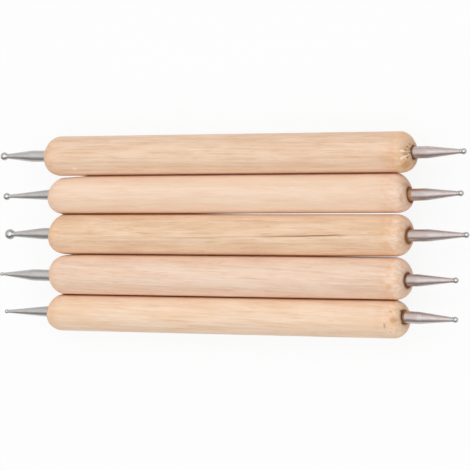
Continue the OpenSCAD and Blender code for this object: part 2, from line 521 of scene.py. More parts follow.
def crack_line(finish, handle, color, axes, look):
    """A dark grain line that runs along the top of a handle and fades at both ends."""
    x, y, z = axes
    from_x, from_y = on_handle(handle, 0, look.crack_y)
    to_x, to_y = on_handle(handle, 0.03, look.crack_y + 0.03 * look.crack_slope)
    slope = (to_y - from_y) / (to_x - from_x)
    wander = finish.noise(x / 16, 1.0, 0.0, detail=1) - 0.5
    line_y = from_y - from_x * slope + x * slope + wander * 0.7
    width = 0.16 + finish.noise(x / 4, 4.0, 0.0, detail=1) * 0.3
    near = 1 - (abs(y - line_y) / width).between(0.2, 1.0)
    start, full = look.crack_start / MM, look.crack_full / MM
    stop, gone = look.crack_stop / MM, look.crack_gone / MM
    faint = x.between(start, start + 8) * 0.25 + x.between(full - 6, full + 12) * 0.75
    run = faint * (1 - x.between(stop, gone)) * z.between(0, 1)
    return finish.mix(near * run * look.crack, color, DARK_LINE)


def marked(finish, color, mark, along, across, ragged, where):
    """The colour with one oval of uneven edge laid over it."""
    along = along / (mark.long / MM)
    across = across / (mark.wide / MM)
    off = (along * along + across * across) ** 0.5 + ragged
    return finish.mix((1 - off.between(mark.core, 1.0)) * where * mark.share, color, mark.color)


def spot_color(finish, handle, color, axes, spot):
    """One stain, chip or nick on the upper side of a handle."""
    x, y, z = axes
    middle_x, middle_y = on_handle(handle, spot.x, spot.y)
    ragged = (finish.noise(x * 1.3, y * 1.3, 3.0, detail=3) - 0.5) * 0.9
    return marked(finish, color, spot, x - middle_x, y - middle_y, ragged, z.between(0, 0.5))


def stain_and_shade_color(finish, bore, color, axes, stain):
    """One mark beside the mouth of a bore, placed by its angle from the top and its distance from the edge; in
    pits and crevices it is painted shade, elsewhere a stain.
    """
    off_y, off_z, face = axes
    turn_y, turn_z = math.sin(stain.angle), math.cos(stain.angle)
    outward = off_y * turn_y + off_z * turn_z - (bore.bore_r + stain.off) / MM
    sideways = off_y * turn_z - off_z * turn_y
    ragged = (finish.noise(off_y * 2.2, off_z * 2.2, 5.0) - 0.5) * 0.8
    return marked(finish, color, stain, outward, sideways, ragged, face)


def torn_finish(settings):
    """Pale fibres torn out of the end of a handle."""
    finish = Finish("torn_fibres")
    x, y, z = finish.axes()
    fibres = finish.noise(x / 1.6, y * 6, z * 6, detail=3, rough=0.6)
    color = finish.mix(fibres.between(0.35, 0.7), settings.fibre, settings.fibre_dark)
    rough = 0.6 + fibres * 0.2
    bump = finish.bump(fibres, 0.4, 0.03)
    return finish.surface(Base_Color=color, Roughness=rough, IOR=1.4, Normal=bump)


def shank_finish(settings):
    """Satin steel: drawn along the rod, and ground in fine rings along the taper."""
    finish = Finish("shank_steel")
    x, y, z = finish.axes()
    ground = finish.mark("ground")
    drawn = finish.noise(x * 5, y * 5, z * 0.35, detail=3)
    turned = finish.noise(x * 0.5, y * 0.5, z * 13, detail=3, rough=0.7)
    cloud = finish.noise(x * 0.8, y * 0.8, z * 0.35, detail=2)
    texture = drawn * (1 - ground) + turned * ground
    warmth = cloud.between(0.2, 0.6) * finish.mark("warm")
    color = finish.mix(warmth, settings.steel, settings.steel_warm)
    color = finish.mix(texture.between(0.35, 0.75) * 0.4, color, settings.steel_dark)
    color = finish.mix(finish.mark("nick"), color, settings.nick)
    rough = 0.25 + texture * 0.12 + ground * 0.05
    bump = finish.bump(texture, 0.3, 0.015)
    return finish.surface(Base_Color=color, Metallic=1.0, Roughness=rough, Normal=bump)


def ball_finish(settings):
    """Polished steel with faint wear marks."""
    finish = Finish("ball_steel")
    x, y, z = finish.axes()
    wear = finish.noise(x * 3, y * 3, z * 5, detail=4, rough=0.7)
    color = finish.mix(wear.between(0.45, 0.8) * 0.5, settings.ball, settings.steel)
    rough = 0.07 + wear.between(0.4, 0.9) * 0.12
    bump = finish.bump(wear, 0.12, 0.01)
    return finish.surface(Base_Color=color, Metallic=1.0, Roughness=rough, Normal=bump)


def adhesive_finish(settings):
    """Set amber adhesive, darker lower down the bore."""
    finish = Finish("adhesive")
    x, y, z = finish.axes()
    cloud = finish.noise(x * 1.2, y * 1.2, z * 1.2, detail=3)
    low_in_bore = 1 - z.between(-0.5, 0.3)
    color = finish.mix(cloud.between(0.3, 0.7), settings.amber, settings.amber_tan)
    color = finish.mix(low_in_bore, color, settings.amber_dark)
    rough = 0.2 + cloud * 0.2
    bump = finish.bump(cloud, 0.3, 0.05)
    return finish.surface(Base_Color=color, Roughness=rough, IOR=1.5, Normal=bump)


# Settings that a user would change

class Mark:
    """What a stain and a spot have in common."""
    long: length_property("Length", 0.5, "Half its length")
    wide: length_property("Width", 0.5, "Half its width")
    core: number_property("Core", 0.3, "Share of it that has its full colour")
    share: number_property("Strength", 0.8, "Strength of the colour")
    color: color_property("Color", "#7d6440", "Colour of the mark")


class StainAndShade(Mark, bpy.types.PropertyGroup):
    """A mark in the wood beside the mouth of a bore, its length running outwards: a stain, and in a pit or
    crevice painted shade.
    """
    angle: number_property("Angle", 0, "Turn from the top of the mouth", subtype="ANGLE")
    off: length_property("Distance", 0.5, "Distance from the bore's edge to its middle")


class Spot(Mark, bpy.types.PropertyGroup):
    """A stain, chip or nick on a handle, at a place of the row's plan."""
    x: length_property("X", 0, "Place along the row")
    y: length_property("Y", 0, "Place across the row")


class MouthLook(bpy.types.PropertyGroup):
    """One end of a handle: its shape, and how the wood round the bore is stained and torn, with painted shade
    at the mouth; on the right ends paler end tones are painted light.
    """
    # The rim is a dark stain at the mouth together with painted shadow at the bore's edge
    rim: length_property("Rim width", 0.4, "Width of the dark stain at the mouth of the bore")
    rim_share: number_property("Rim strength", 0.8, "Strength of the dark stain")
    rim_ragged: number_property("Rim raggedness", 0.5, "Unevenness of the dark stain, in mm")
    rim_color: color_property("Rim color", "#7a4a24", "Colour of the stain at the mouth")
    halo: length_property("Halo width", 1.4, "Width of the pale stain round the mouth")
    halo_share: number_property("Halo strength", 0.4, "Strength of the pale stain")
    halo_color: color_property("Halo color", "#c99560", "Colour of the pale stain")
    # End-grain tones; the right ends get paler ones and a larger share, as painted light on the ends that face
    # the camera
    end_tone: color_property("End grain", "#dfa273", "Darker tone of the end grain")
    end_pale: color_property("Pale end grain", "#ecc9a8", "Paler tone of the end grain")
    end_share: number_property("End grain strength", 0.5, "How far the end takes those tones")
    band: number_property("Band strength", 0.1, "Strength of the warm patches at the shoulder")
    band_color: color_property("Band color", "#e2ac7e", "Colour of the warm patches at the shoulder")
    tear: length_property("Tear depth", 0.05, "Depth of the torn grain at the mouth")
    tear_reach: length_property("Tear reach", 0.8, "How far the torn grain runs from the mouth")
    lean: number_property("Lean", 0, "Slope by which the end was sanded out of square")
    slack: length_property("Slack", 0, "How much the rear side narrows towards this end")
    slack_run: length_property("Slack run", 9, "Length over which the rear side narrows")
    collar: length_property("Collar", -0.28, "Height of the adhesive on the rod above the handle's end")
    stains: CollectionProperty(type=StainAndShade)


class WoodLook(bpy.types.PropertyGroup):
    """How one handle's wood looks."""
    pale: color_property("Pale wood", "#efd3b7", "Lightest tone of the wood")
    warm: color_property("Warm wood", "#e2bc96", "Warmer tone of the wood")
    line: color_property("Grain line", "#cfa27a", "Tone of the grain lines")
    dark: color_property("Dash", "#b08158", "Tone of the short dark dashes in the grain")
    blotch: number_property("Blotches", 0.68, "Strength of the warm patches")
    streak: number_property("Streaks", 0.5, "Strength of the fine streaks")
    ring: number_property("Rings", 0.3, "Strength of the growth rings")
    ring_step: number_property("Ring step", 1.1, "Millimetres from ring to ring")
    ring_turn: number_property("Ring turn", 0.4, "Turn of the rings", subtype="ANGLE")
    figure: number_property("Figure", 2.5, "How far the rings wander, in millimetres")
    pore: number_property("Dashes", 0.5, "Strength of the short dark dashes")
    skew: number_property("Skew", 0.01, "Sideways run of the grain along the handle")
    lean: number_property("Lean", 0.01, "Upward run of the grain along the handle")
    crack: number_property("Crack", 0, "Strength of the dark grain line")
    crack_y: length_property("Crack place", 0, "Place of the dark line across the row, at its middle")
    crack_slope: number_property("Crack slope", 0, "Sideways run of the dark line")
    crack_start: length_property("Crack start", -20, "Where the dark line starts to show")
    crack_full: length_property("Crack full", 10, "Where the dark line is dark")
    crack_stop: length_property("Crack stop", 26, "Where the dark line starts to fade")
    crack_gone: length_property("Crack gone", 36, "Where the dark line is gone")
    touch: length_property("Touch", 0.2, "Gap to the stylus behind, under which the two are drawn together")
    # Strength, colour and reach of the painted shade in the crease where two handles touch
    crease: number_property("Crease", 0.9, "Strength of the dark line where two touch")
    crease_shade_color: color_property("Crease color", "#b4661f", "Colour of the dark line where two touch")
    crease_shade_reach: length_property("Crease reach", 1.0, "Gap under which the wood between two goes dark")
    left_mouth: PointerProperty(type=MouthLook)
    right_mouth: PointerProperty(type=MouthLook)
    spots: CollectionProperty(type=Spot)


class HandleSettings(bpy.types.PropertyGroup):
    """Sizes of the handles' modelled detail."""
    segments: IntProperty(name="Segments", description="Points round each handle", default=128, min=24)
    rim_round: length_property("Mouth round", 0.15, "Rounding of the edge of each bore")
    waviness: length_property("Waviness", 0.03, "Unevenness of the turned and sanded barrel")


class FibreSettings(bpy.types.PropertyGroup):
    """Colours of the fibres torn up round a bore."""
    fibre: color_property("Fibre", "#ffe9d2", "Colour of a torn fibre")
    fibre_dark: color_property("Fibre shade", "#f8d3ae", "Darker tone of a torn fibre")
    lift: length_property("Lift", 0.16, "Height of a torn fibre above the wood")


class SteelSettings(bpy.types.PropertyGroup):
    """Sizes and colours of the shanks and balls."""
    steel: color_property("Steel", "#d6d4d2", "Colour of the steel")
    steel_warm: color_property("Warm steel", "#dccbc8", "Warmer tone of the steel")
    steel_dark: color_property("Grinding marks", "#a39f9e", "Tone of the grinding marks")
    nick: color_property("Nick", "#e6e4e0", "Tone of a fresh scratch")
    ball: color_property("Ball", "#c6c5c3", "Colour of the polished balls")
    blend: length_property("Taper blend", 0.9, "Length over which the rod rounds into its taper")
    bead_swell: length_property("Bead swell", 0.06, "Height of the weld bead above the neck")


class AdhesiveSettings(bpy.types.PropertyGroup):
    """Sizes and colours of the adhesive."""
    amber: color_property("Amber", "#9c6636", "Colour of thin adhesive")
    amber_tan: color_property("Tan", "#b48a60", "Colour of adhesive smeared thin")
    # Colour the adhesive takes lower down the bore
    amber_dark: color_property("Dark amber", "#4e2a12", "Colour of thick adhesive")


class StageSettings(bpy.types.PropertyGroup):
    """The studio: floor, lamps and camera."""
    floor_color: color_property("Floor", "#e9e9e9", "Colour of the floor")
    floor_show: number_property("Floor glow", 0.9, "Share of plain white the camera sees")
    floor_mirrored: number_property("Floor mirrored", 0.15, "Share of white that metal mirrors")
    sky: number_property("Sky", 0.66, "Level of the light from all round")
    mirrored: number_property("Mirrored sky", 0.9, "Level of the sky that metal mirrors")
    glare: number_property("Mirrored softbox", 0.75, "Extra level of the part on the right")
    key: number_property("Key lamp", 8, "Power of the rear lamp", unit="POWER")
    fill: number_property("Fill lamp", 6, "Power of the front lamp", unit="POWER")
    tilt: number_property("Tilt", math.radians(28), "Lean of the view from above to the right", subtype="ANGLE")
    distance: length_property("Camera distance", 649, "Distance from the camera to what it looks at")
    lens: number_property("Lens", 193.9, "Focal length", unit="CAMERA")
    look_x: length_property("Look at X", 3.14, "Place along the row that the camera looks at")
    look_y: length_property("Look at Y", -0.25, "Place across the row that the camera looks at")
    look_z: length_property("Look at Z", 5, "Height that the camera looks at")


# One mark beside a mouth; in crevices and pits these marks are painted shade, elsewhere stains
def stain(angle, off, long, wide, color, share, core=0.3):
    """The settings of one Stain."""
    return dict(angle=angle, off=off, long=long, wide=wide, color=color, share=share, core=core)


def spot(x, y, long, wide, color, share, core=0.3):
    """The settings of one Spot."""
    return dict(x=x, y=y, long=long, wide=wide, color=color, share=share, core=core)


# The right ends' paler end_pale and end_tone and larger end_share paint light on the ends that face the camera
WOODS = [
    {
        "pale": "#ebcbaf", "warm": "#e2ba98", "line": "#c89872", "dark": "#b48a66",
        "streak": 0.45, "ring": 0.34, "ring_step": 1.2, "figure": 2.6, "pore": 0.22, "skew": 0.012,
        "left_mouth": {"lean": 0.11},
        "right_mouth": {
            "rim": 0.5, "rim_ragged": 0.9, "rim_color": "#7b6040", "rim_share": 0.4, "halo": 2.2,
            "halo_share": 0.5, "halo_color": "#c39a6b", "tear": 0.2, "tear_reach": 1.2, "lean": 0.1,
            "end_pale": "#f4d2b2", "end_tone": "#e8b487", "end_share": 0.7, "collar": -0.06, "band": 0.45,
            # Some of these marks are painted shade in the crevices and gaps between the torn fibres; the others
            # are stains
            "stains": [
                stain(6, 1.5, 1.5, 1.9, "#c79f70", 0.6),
                stain(24, 1.45, 0.34, 0.5, "#8f7048", 0.75),
                stain(48, 0.8, 0.45, 0.36, "#7a5d3a", 0.75),
                stain(27, 0.25, 0.5, 0.55, "#6a6452", 0.9, core=0.5),
                stain(-3, 0.4, 0.34, 0.3, "#67644f", 0.85),
                stain(9, 1.9, 0.4, 0.26, "#9b7849", 0.75),
                stain(-24, 1.45, 0.4, 0.36, "#8a6235", 0.85),
                stain(-56, 0.1, 0.35, 0.8, "#6b3a20", 0.9),
                stain(-8, 1.9, 0.8, 0.4, "#b9946a", 0.75),
                stain(18, 1.35, 0.28, 0.22, "#ecd3ae", 0.9),
                stain(36, 2.6, 0.7, 0.7, "#e3c8bb", 0.6),
                stain(-52, 2.2, 1.2, 1.6, "#cc9358", 0.7),
                stain(-48, 2.9, 0.5, 0.5, "#d0b478", 0.55),
            ],
        },
        "spots": [
            spot(-42.5, 17.2, 0.9, 0.5, "#fbe3cd", 0.7),
            spot(50.4, 22.4, 1.6, 1.1, "#e6c4ad", 0.6),
        ],
    },
    {
        "pale": "#efd2b9", "warm": "#e9c6a9", "line": "#d9b394", "dark": "#c79f80",
        "streak": 0.28, "ring": 0.14, "ring_step": 1.7, "figure": 4.0, "pore": 0.1, "skew": 0.004,
        "left_mouth": {"lean": 0.2, "slack": 0.42, "end_share": 0.22, "band": 0.0},
        "right_mouth": {
            "rim": 0.75, "rim_color": "#75421d", "rim_share": 0.92, "rim_ragged": 0.3, "halo": 2.2,
            "halo_share": 0.5, "halo_color": "#c88f62", "tear": 0.05, "lean": 0.2, "collar": 0.9,
            "end_pale": "#fbe0cd", "end_tone": "#edc3a6", "end_share": 0.7, "band": 0.3,
        },
        "spots": [
            spot(52.0, 12.3, 1.6, 1.0, "#cfa06f", 0.5),
            spot(51.3, 9.0, 0.5, 1.3, "#dba67a", 0.55),
        ],
    },
    {
        "pale": "#ebcaaa", "warm": "#dfb68f", "line": "#c6986e", "dark": "#a97c50",
        "streak": 0.48, "ring": 0.38, "ring_step": 1.3, "figure": 2.2, "pore": 0.26, "skew": 0.002,
        "touch": 0.21,
        "crack": 0.85, "crack_y": -0.82, "crack_slope": 0.0135, "crack_start": -20, "crack_full": 14,
        "crack_stop": 31, "crack_gone": 39,
        "left_mouth": {"lean": 0.17},
        "right_mouth": {
            "rim": 0.95, "rim_color": "#8b5020", "rim_share": 0.88, "rim_ragged": 0.3, "halo": 2.6,
            "halo_share": 0.5, "halo_color": "#d0975f", "tear": 0.04, "lean": -0.05, "collar": 0.5,
            "end_pale": "#fbe1cc", "end_tone": "#eec4a0", "end_share": 0.85, "band": 0.5,
        },
    },
    {
        "pale": "#edd0ba", "warm": "#e6c0a3", "line": "#cda284", "dark": "#b98e70",
        "streak": 0.42, "ring": 0.34, "ring_step": 1.1, "figure": 2.0, "pore": 0.24, "skew": 0.03,
        "touch": 0.32,
        "left_mouth": {"slack": 0.3, "slack_run": 7, "end_share": 0.22, "band": 0.0},
        "right_mouth": {
            "rim": 0.7, "rim_color": "#6b3d1e", "rim_share": 0.9, "rim_ragged": 0.3, "halo": 1.8,
            "halo_share": 0.4, "halo_color": "#c79368", "tear": 0.05, "lean": 0.04, "collar": 0.1,
            "end_pale": "#fce2cf", "end_tone": "#f0c7a6", "end_share": 0.8, "band": 0.4,
        },
        "spots": [
            spot(52.3, -11.9, 0.5, 0.4, "#e8d08d", 0.7),
            spot(48.6, -13.2, 1.3, 1.4, "#e0ab79", 0.45),
        ],
    },
    {
        "pale": "#f1d4b9", "warm": "#ebc4a0", "line": "#d3a982", "dark": "#bb8f68",
        "streak": 0.4, "ring": 0.34, "ring_step": 1.4, "figure": 2.4, "pore": 0.2, "skew": 0.035,
        "left_mouth": {"lean": 0.15},
        "right_mouth": {
            "rim": 0.5, "rim_color": "#a0703f", "rim_share": 0.8, "rim_ragged": 0.3, "halo": 2.0,
            "halo_share": 0.4, "halo_color": "#c8a070", "tear": 0.06, "tear_reach": 1.4, "collar": 0.3,
            "end_pale": "#fde3cc", "end_tone": "#f1c59c", "end_share": 0.75, "band": 0.3,
            "stains": [
                stain(52, 0.3, 0.35, 0.9, "#6f4726", 0.85),
                stain(-52, 0.3, 0.35, 0.9, "#71452a", 0.85),
                stain(-12, 1.5, 0.7, 0.8, "#c39a64", 0.6),
                stain(24, 1.72, 0.18, 0.45, "#b98d63", 0.6),
            ],
        },
        "spots": [
            spot(49.4, -21.3, 1.1, 1.3, "#d3a272", 0.5),
            spot(47.2, -22.6, 0.45, 1.0, "#a08570", 0.7, core=0.1),
            spot(48.4, -24.2, 0.3, 0.4, "#a98f78", 0.6, core=0.1),
        ],
    },
]

# Fibres torn up round the mouth of a bore: the stylus, and for each one the angle from the top at its
# two ends, its two distances from the bore's edge, its half width there and its height as a share
FIBRES = {
    1: [
        (2, 5, 1.5, 2.8, 0.34, 1.0), (-14, -23, 1.0, 2.85, 0.38, 1.0), (6, 3, 0.1, 1.5, 0.09, 0.5),
        (-21, -8, 0.5, 1.15, 0.12, 0.6), (40, 48, 0.1, 0.8, 0.10, 0.6), (-36, -30, 0.3, 1.2, 0.10, 0.6),
    ],
    5: [(29, 12, 1.4, 1.12, 0.30, 1.2), (-10, -14, 2.2, 2.7, 0.20, 0.5)],
}


def fill_in(group, values):
    """Writes settings into a property group; codes are colours, lengths millimetres and angles degrees."""
    for name, value in values.items():
        if isinstance(value, dict):
            fill_in(getattr(group, name), value)
            continue
        if isinstance(value, list):
            for one in value:
                fill_in(getattr(group, name).add(), one)
            continue
        kind = group.bl_rna.properties[name]
        if isinstance(value, str):
            value = paint(value)
        elif kind.unit == "LENGTH":
            value = value * MM
        elif kind.subtype == "ANGLE":
            value = math.radians(value)
        setattr(group, name, value)


# Operators

def mouth_points(handle, bore, end, radius, segments, sink=0.0):
    """A ring round the bore's line, at a radius and on the round end, or below it by a distance."""
    ring = []
    for cos, sin in turns(segments):
        point = bore.origin + Vector((0, cos, sin)) * radius
        for _ in range(4):
            gap = handle.end_x(end, point.y, point.z) - point.x
            point = point + bore.line * (gap / bore.line.x)
        ring.append(point - bore.line * sink)
    return ring


def inner_ring(bore, radius, height, segments):
    """A ring round the bore's line at a height above the handle's end."""
    ring = []
    for cos, sin in turns(segments):
        out = Vector((0, cos, sin)) * radius
        ring.append(bore.origin + out + bore.line * (height - out.dot(bore.line)))
    return ring


def torn(handle, bore, end, point, mouth, seed):
    """How deep the grain is torn at a point of a round end, from 0 to 1."""
    off = point - bore.origin
    off = off - bore.line * off.dot(bore.line)
    past = off.length - bore.bore_r
    if past > mouth.tear_reach:
        return 0.0
    turn = off.normalized()
    ragged = noise.noise(Vector((turn.y * 5.0, turn.z * 5.0, seed))) * 0.7
    ragged += noise.noise(Vector((turn.y * 13.0, turn.z * 13.0, seed + 9 + past / MM * 0.5))) * 0.6
    reach = 1 - past / mouth.tear_reach
    return max(0.0, min(1.0, ragged * 1.8 + 0.12)) * reach ** 1.3


def end_rings(handle, end, segments, rim_round, mouth):
    """Rings from the bottom of a bore, up its wall and over the round end to the shoulder."""
    bore = handle.bores[end]
    bottom = bore.origin - bore.line * bore.depth
    rings = [[bottom]]
    for depth in (bore.depth, bore.depth * 0.6, bore.depth * 0.25, 1.2 * MM):
        rings.append(inner_ring(bore, bore.bore_r, -depth, segments))
    for k in range(4):
        angle = math.radians(90 * k / 3)
        radius = bore.bore_r + rim_round * (1 - math.cos(angle))
        rings.append(mouth_points(handle, bore, end, radius, segments, sink=rim_round * (1 - math.sin(angle))))
    start = rings[-1]
    edge = handle.radius[end]
    flat = edge - handle.round[end]
    steps = 34
    for k in range(1, steps + 1):
        share = (k / steps) ** 1.25
        ring = []
        for base, (cos, sin) in zip(start, turns(segments)):
            base_r = math.hypot(base.y, base.z)
            first = math.asin(min(max((base_r - flat) / handle.round[end], 0), 1))
            swing = first + (math.pi / 2 - first) * share
            cross = (flat + handle.round[end] * math.sin(swing) - base_r) / (edge - base_r)
            y = base.y + (edge * cos - base.y) * cross
            z = base.z + (edge * sin - base.z) * cross
            ring.append(Vector((handle.end_x(end, y, z), y, z)))
        rings.append(ring)
    marks = []
    for index, ring in enumerate(rings):
        values = []
        for j, point in enumerate(ring):
            depth = 0.0
            if index > 5:
                depth = torn(handle, bore, end, point, mouth, handle.number * 3.7 + end)
                ring[j] = point - handle.outward(end, point) * depth * mouth.tear
            values.append(depth * min(1.0, mouth.tear / (0.3 * MM)))
        marks.append(values)
    return rings, marks


def barrel_rings(handle, segments, waviness):
    """Rings of the barrel between its shoulders, a little uneven except where it touches its neighbours."""
    steps = 52
    rings = []
    for k in range(1, steps):
        x = handle.shoulder * (2 * k / steps - 1)
        ring = []
        for cos, sin in turns(segments):
            place = Vector((x / (14 * MM), cos * 0.9, sin * 0.9 + handle.number * 5))
            dent = (0.5 + 0.5 * noise.noise(place)) * waviness * smooth_step(0.3, 0.8, abs(sin))
            radius = handle.radius_at(x) - dent
            ring.append(Vector((x, radius * cos, radius * sin)))
        rings.append(ring)
    return rings


def slack_share(handle, end, mouth, x):
    """How much of a mouth's slack there is at a place along a handle."""
    return smooth_step(handle.shoulder - mouth.slack_run, handle.shoulder + 1 * MM, end * x)


def narrow(handle, rings, end, mouth):
    """Takes some wood off the rear side of a handle towards one end."""
    for ring in rings:
        for point in ring:
            if point.y > 0:
                point.y *= 1 - mouth.slack * slack_share(handle, end, mouth, point.x) / handle.radius[end]


def meet(handle, rings, neighbour, mouth, touch):
    """Draws a side up to the neighbour that it touches, and gives how deep in the crease each point lies.

    The mouth is the left one of the neighbour when the neighbour lies in front, for the wood it lacks there."""
    across = neighbour.matrix.inverted() @ handle.matrix
    toward = handle.matrix.inverted() @ neighbour.matrix.translation
    side = math.atan2(toward.z, toward.y)
    depths = []
    for ring in rings:
        for point in ring:
            there = across @ Vector((point.x, 0, 0))
            own = math.hypot(point.y, point.z)
            other = neighbour.skin_at(there.x)
            if mouth:
                other -= mouth.slack * slack_share(neighbour, LEFT, mouth, there.x)
            gap = math.hypot(there.y, there.z) - own - other
            off = abs(math.remainder(math.atan2(point.z, point.y) - side, 2 * math.pi))
            near = 1 - smooth_step(0.75 * touch, 1.1 * touch, gap)
            push = max(0.0, gap / 2 - CLEAR) * near * (1 - smooth_step(0, math.radians(30), off))
            if push > 0:
                point.y *= 1 + push / own
                point.z *= 1 + push / own
            depths.append(near * (1 - smooth_step(math.radians(8), math.radians(26), off)))
    return depths


class STYLUS_OT_handles(bpy.types.Operator):
    """Build the five turned wooden handles with their bores"""
    bl_idname = "stylus.handles"
    bl_label = "Handles"

    def execute(self, context):
        settings = context.scene.stylus_handles
        looks = context.scene.stylus_woods
        for index, (handle, look) in enumerate(zip(handles, looks)):
            handle.lean = {LEFT: look.left_mouth.lean, RIGHT: look.right_mouth.lean}
            count = settings.segments
            left, left_marks = end_rings(handle, LEFT, count, settings.rim_round, look.left_mouth)
            right, right_marks = end_rings(handle, RIGHT, count, settings.rim_round, look.right_mouth)
            barrel = barrel_rings(handle, count, settings.waviness)
            rings = left + barrel + right[::-1]
            narrow(handle, rings, LEFT, look.left_mouth)
            creases = []
            if index > 0:
                creases.append(meet(handle, rings, handles[index - 1], None, look.touch))
            if index < len(handles) - 1:
                ahead = looks[index + 1]
                creases.append(meet(handle, rings, handles[index + 1], ahead.left_mouth, ahead.touch))
            tears = left_marks + [[0.0] * count for _ in barrel] + right_marks[::-1]
            marks = {
                "tear": [value for ring in tears for value in ring],
                "crease": [max(values) for values in zip(*creases)],
            }
            new_piece(
                f"{handle.body}_wood", rings, handle.matrix, handle.body, wood_finish(handle, look),
                node=f"{handle.body}_handle", marks=marks
            )
        return {"FINISHED"}


class STYLUS_OT_shanks(bpy.types.Operator):
    """Build the ten tapered steel shanks"""
    bl_idname = "stylus.shanks"
    bl_label = "Shanks"

    def execute(self, context):
        settings = context.scene.stylus_steel
        material = shank_finish(settings)
        for handle in handles:
            for end, bore in handle.bores.items():
                outline, ground = self.outline(bore, settings.blend)
                rings = turned_rings(outline)
                nicks = [max(self.nicked(bore, z, place) for place in SCRATCHES) for z, r in outline]
                marks = {
                    "ground": [value for value, ring in zip(ground, rings) for _ in ring],
                    "nick": [value for value, ring in zip(nicks, rings) for _ in ring],
                    "warm": [1.0 if end == RIGHT else 0.15 for ring in rings for _ in ring],
                }
                new_piece(
                    f"{bore.name}_rod", rings, bore.matrix, handle.body, material,
                    node=f"{bore.name}_shank", marks=marks, sharp=30
                )
        return {"FINISHED"}

    def nicked(self, bore, z, place):
        """How bright a scratch across the scratched shank is at a height."""
        if bore.name != SCRATCHED:
            return 0.0
        return max(0.0, 1 - abs(z / MM - place) / SCRATCH_WIDE) * 0.8

    def outline(self, bore, blend):
        """The shank's outline with its taper rounded in, and how far each height is ground."""
        buried = [(z, r) for z, r in bore.shank if bore.on_tang(z, r) and z < bore.tang_z + MARGIN]
        exposed = [pair for pair in bore.shank if pair not in buried]
        heights, radii = zip(*exposed)
        taper_z = heights[-2] if len(exposed) > 2 else heights[0]
        outline = [(buried[0][0], 0.0)] + buried
        chamfer = 0.05 * MM
        outline.append((heights[0], radii[0] - chamfer))
        ground = [0.0] * len(outline)
        steps = 90
        start = heights[0] + chamfer
        for k in range(steps + 1):
            z = start + (heights[-1] - start) * k / steps
            around = np.linspace(z - blend / 2, z + blend / 2, 9)
            kept = np.interp(np.clip(around, heights[0], heights[-1]), heights, radii)
            outline.append((z, float(kept.mean()) if k < steps - 3 else float(np.interp(z, heights, radii))))
            ground.append(smooth_step(taper_z - blend / 2, taper_z + blend / 2, z))
        outline.append((heights[-1], 0.0))
        ground.append(1.0)
        return outline, ground


class STYLUS_OT_balls(bpy.types.Operator):
    """Build the ten polished balls with their weld beads"""
    bl_idname = "stylus.balls"
    bl_label = "Balls"

    def execute(self, context):
        settings = context.scene.stylus_steel
        material = ball_finish(settings)
        for handle in handles:
            for bore in handle.bores.values():
                rings = turned_rings(self.outline(bore, settings.bead_swell))
                new_piece(
                    f"{bore.name}_bead", rings, bore.matrix, handle.body, material,
                    node=f"{bore.name}_ball", sharp=60
                )
        return {"FINISHED"}

    def outline(self, bore, swell):
        """From the weld over its bead, through a small fillet and round the ball."""
        meets_z = bore.ball_z - math.sqrt(bore.ball_r ** 2 - bore.neck_r ** 2)
        bead_r = (meets_z - bore.weld_z) / 2
        bead_z = bore.weld_z + bead_r
        bead_off = bore.neck_r + swell - bead_r
        outline = [(bore.weld_z, 0.0), (bore.weld_z, bore.neck_r)]
        steps = 14
        top_z = bead_z + bead_r
        for k in range(1, steps):
            z = bore.weld_z + (top_z - bore.weld_z) * k / steps
            bead = bead_off + math.sqrt(max(bead_r ** 2 - (z - bead_z) ** 2, 0))
            ball = math.sqrt(max(bore.ball_r ** 2 - (z - bore.ball_z) ** 2, 0))
            outline.append((z, max(bore.neck_r, bead, ball)))
        first = math.acos(min(max((bore.ball_z - top_z) / bore.ball_r, -1), 1))
        bands = 26
        for k in range(bands):
            angle = first + (math.pi - first) * k / bands
            outline.append((bore.ball_z - bore.ball_r * math.cos(angle), bore.ball_r * math.sin(angle)))
        outline.append((bore.ball_z + bore.ball_r, 0.0))
        return outline


class STYLUS_OT_adhesive(bpy.types.Operator):
    """Build the adhesive round each tang"""
    bl_idname = "stylus.adhesive"
    bl_label = "Adhesive"

    def execute(self, context):
        material = adhesive_finish(context.scene.stylus_adhesive)
        for handle, look in zip(handles, context.scene.stylus_woods):
            for end, mouth in zip(SIDES, (look.left_mouth, look.right_mouth)):
                bore = handle.bores[end]
                rings = self.rings(bore, mouth.collar, handle.number * 2.1 + end)
                new_piece(
                    f"{bore.name}_adhesive", rings, bore.matrix, handle.body, material,
                    node=f"{bore.name}_glue", sharp=60
                )
        return {"FINISHED"}

    def rings(self, bore, top, seed):
        """From the tang's foot up to a hollow surface between rod and bore, and down the bore's wall."""
        foot, foot_r = bore.shank[0]
        edge = min(top, RECESS * MM)
        shoulder = bore.shank[1][0]
        outline = [(foot, 0.0), (foot, foot_r), (shoulder, bore.tang_r)]
        inner_r = bore.tang_r
        if top > edge:
            outline += [(bore.tang_z, bore.tang_r), (bore.tang_z + 0.01 * MM, bore.rod_r)]
            inner_r = bore.rod_r
        outline.append((max(top, edge + 0.05 * MM), inner_r))
        first = len(outline)
        steps = 7
        for k in range(1, steps):
            share = k / steps
            fall = (top - edge) * (1 - (1 - share) ** 1.8) + 0.12 * MM * math.sin(math.pi * share)
            outline.append((top - fall, inner_r + (bore.bore_r - inner_r) * share))
        outline += [(edge, bore.bore_r), (-bore.depth, bore.bore_r), (-bore.depth, 0.0)]
        rings = turned_rings(outline)
        most = min(0.3 * (top - edge) + 0.1 * MM, 0.3 * MM)
        for ring in rings[first - 1:first + steps]:
            for point, (cos, sin) in zip(ring, turns(SEGMENTS)):
                point.z += most * noise.noise(Vector((cos * 1.5, sin * 1.5, seed)))
        return rings


